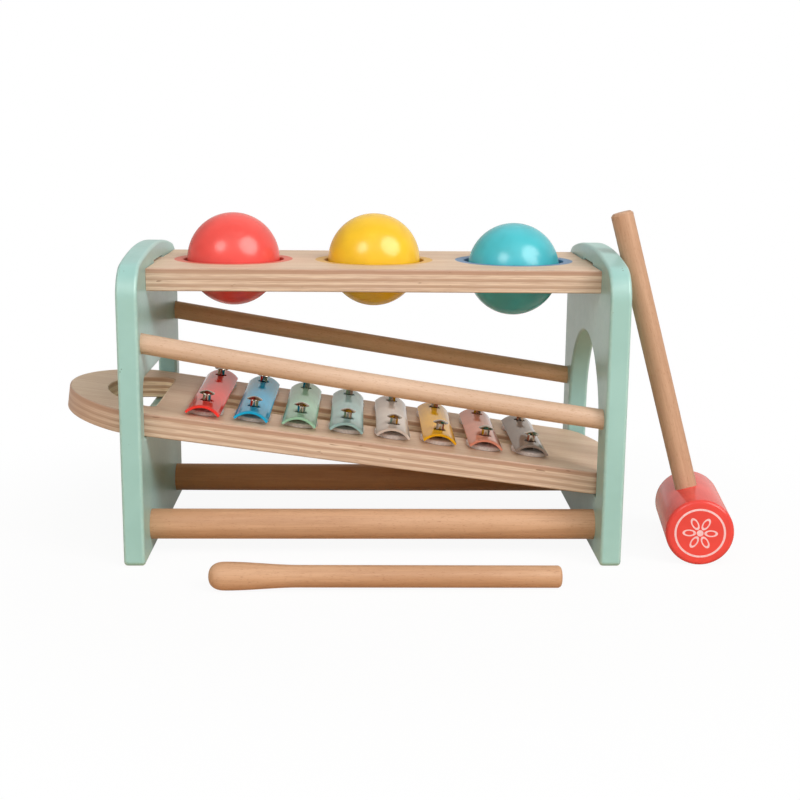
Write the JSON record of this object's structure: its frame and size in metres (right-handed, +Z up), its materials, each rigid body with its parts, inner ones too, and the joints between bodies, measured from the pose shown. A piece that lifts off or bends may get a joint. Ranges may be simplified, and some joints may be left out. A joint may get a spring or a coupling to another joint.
{
  "type": "xylophone pounding bench",
  "caption": "Wooden pounding bench: balls struck through the top plank drop on a sloping slide-out xylophone and roll out under an arch, with a hammer and a beater.",
  "frame": {"origin": "on the floor, in the middle of the box round the whole set, hammer and beater included", "axes": "+X along the bench from the xylophone's handle to the ball exit, +Y from front to back, +Z up"},
  "size_m": [0.358, 0.1822, 0.1795],
  "materials": {
    "mint_paint": "satin paint",
    "plywood": "sanded, clear lacquer",
    "beech": "sanded",
    "ball_red": "gloss lacquer",
    "ball_yellow": "gloss lacquer",
    "ball_turquoise": "gloss lacquer",
    "hammer_red": "gloss lacquer",
    "rubber": "matt",
    "felt": "felt",
    "pin_steel": "bright",
    "bar_red": "gloss paint",
    "bar_blue": "gloss paint",
    "bar_mint": "gloss paint",
    "bar_aqua": "gloss paint",
    "bar_cream": "gloss paint",
    "bar_yellow": "gloss paint",
    "bar_pink": "gloss paint",
    "bar_grey": "gloss paint"
  },
  "bodies": {
    "bench": {"left_end_panel": "mint_paint", "right_end_panel": "mint_paint", "top_plank": "plywood", "guide_rail_front": "beech", "guide_rail_rear": "beech", "stretcher_front": "beech", "stretcher_rear": "beech", "grip_ring_red": "rubber", "grip_ring_yellow": "rubber", "grip_ring_turquoise": "rubber"},
    "xylophone": {"bar_pin_1_red_front": "pin_steel", "bar_pin_1_red_rear": "pin_steel", "bar_pin_2_blue_front": "pin_steel", "bar_pin_2_blue_rear": "pin_steel", "bar_pin_3_mint_front": "pin_steel", "bar_pin_3_mint_rear": "pin_steel", "bar_pin_4_aqua_front": "pin_steel", "bar_pin_4_aqua_rear": "pin_steel", "bar_pin_5_cream_front": "pin_steel", "bar_pin_5_cream_rear": "pin_steel", "bar_pin_6_yellow_front": "pin_steel", "bar_pin_6_yellow_rear": "pin_steel", "bar_pin_7_pink_front": "pin_steel", "bar_pin_7_pink_rear": "pin_steel", "bar_pin_8_grey_front": "pin_steel", "bar_pin_8_grey_rear": "pin_steel", "felt_pad_1_red_front": "felt", "felt_pad_1_red_rear": "felt", "felt_pad_2_blue_front": "felt", "felt_pad_2_blue_rear": "felt", "felt_pad_3_mint_front": "felt", "felt_pad_3_mint_rear": "felt", "felt_pad_4_aqua_front": "felt", "felt_pad_4_aqua_rear": "felt", "felt_pad_5_cream_front": "felt", "felt_pad_5_cream_rear": "felt", "felt_pad_6_yellow_front": "felt", "felt_pad_6_yellow_rear": "felt", "felt_pad_7_pink_front": "felt", "felt_pad_7_pink_rear": "felt", "felt_pad_8_grey_front": "felt", "felt_pad_8_grey_rear": "felt", "tone_bar_1_red": "bar_red", "tone_bar_2_blue": "bar_blue", "tone_bar_3_mint": "bar_mint", "tone_bar_4_aqua": "bar_aqua", "tone_bar_5_cream": "bar_cream", "tone_bar_6_yellow": "bar_yellow", "tone_bar_7_pink": "bar_pink", "tone_bar_8_grey": "bar_grey", "xylophone_board": "plywood"},
    "ball_red": {"ball_red": "ball_red"},
    "ball_yellow": {"ball_yellow": "ball_yellow"},
    "ball_turquoise": {"ball_turquoise": "ball_turquoise"},
    "hammer": {"hammer_head": "hammer_red", "hammer_handle": "beech"},
    "beater": {"beater": "beech"}
  },
  "joints": [
    {"name": "xylophone_slide", "type": "slide", "parent": "bench", "child": "xylophone", "axis": [-0.9905, 0, 0.1374], "range_m": [0, 0.27]},
    {"name": "ball_red_drop", "type": "slide", "parent": "bench", "child": "ball_red", "axis": [0, 0, 1], "range_m": [-0.045, 0.035], "deforming": ["grip_ring_red"]},
    {"name": "ball_yellow_drop", "type": "slide", "parent": "bench", "child": "ball_yellow", "axis": [0, 0, 1], "range_m": [-0.0555, 0.035], "deforming": ["grip_ring_yellow"]},
    {"name": "ball_turquoise_drop", "type": "slide", "parent": "bench", "child": "ball_turquoise", "axis": [0, 0, 1], "range_m": [-0.0615, 0.035], "deforming": ["grip_ring_turquoise"]},
    {"name": "hammer_lift", "type": "slide", "parent": "bench", "child": "hammer", "axis": [0, 0, 1], "range_m": [0, 0.2]},
    {"name": "beater_lift", "type": "slide", "parent": "bench", "child": "beater", "axis": [0, 0, 1], "range_m": [0, 0.15]}
  ]
}
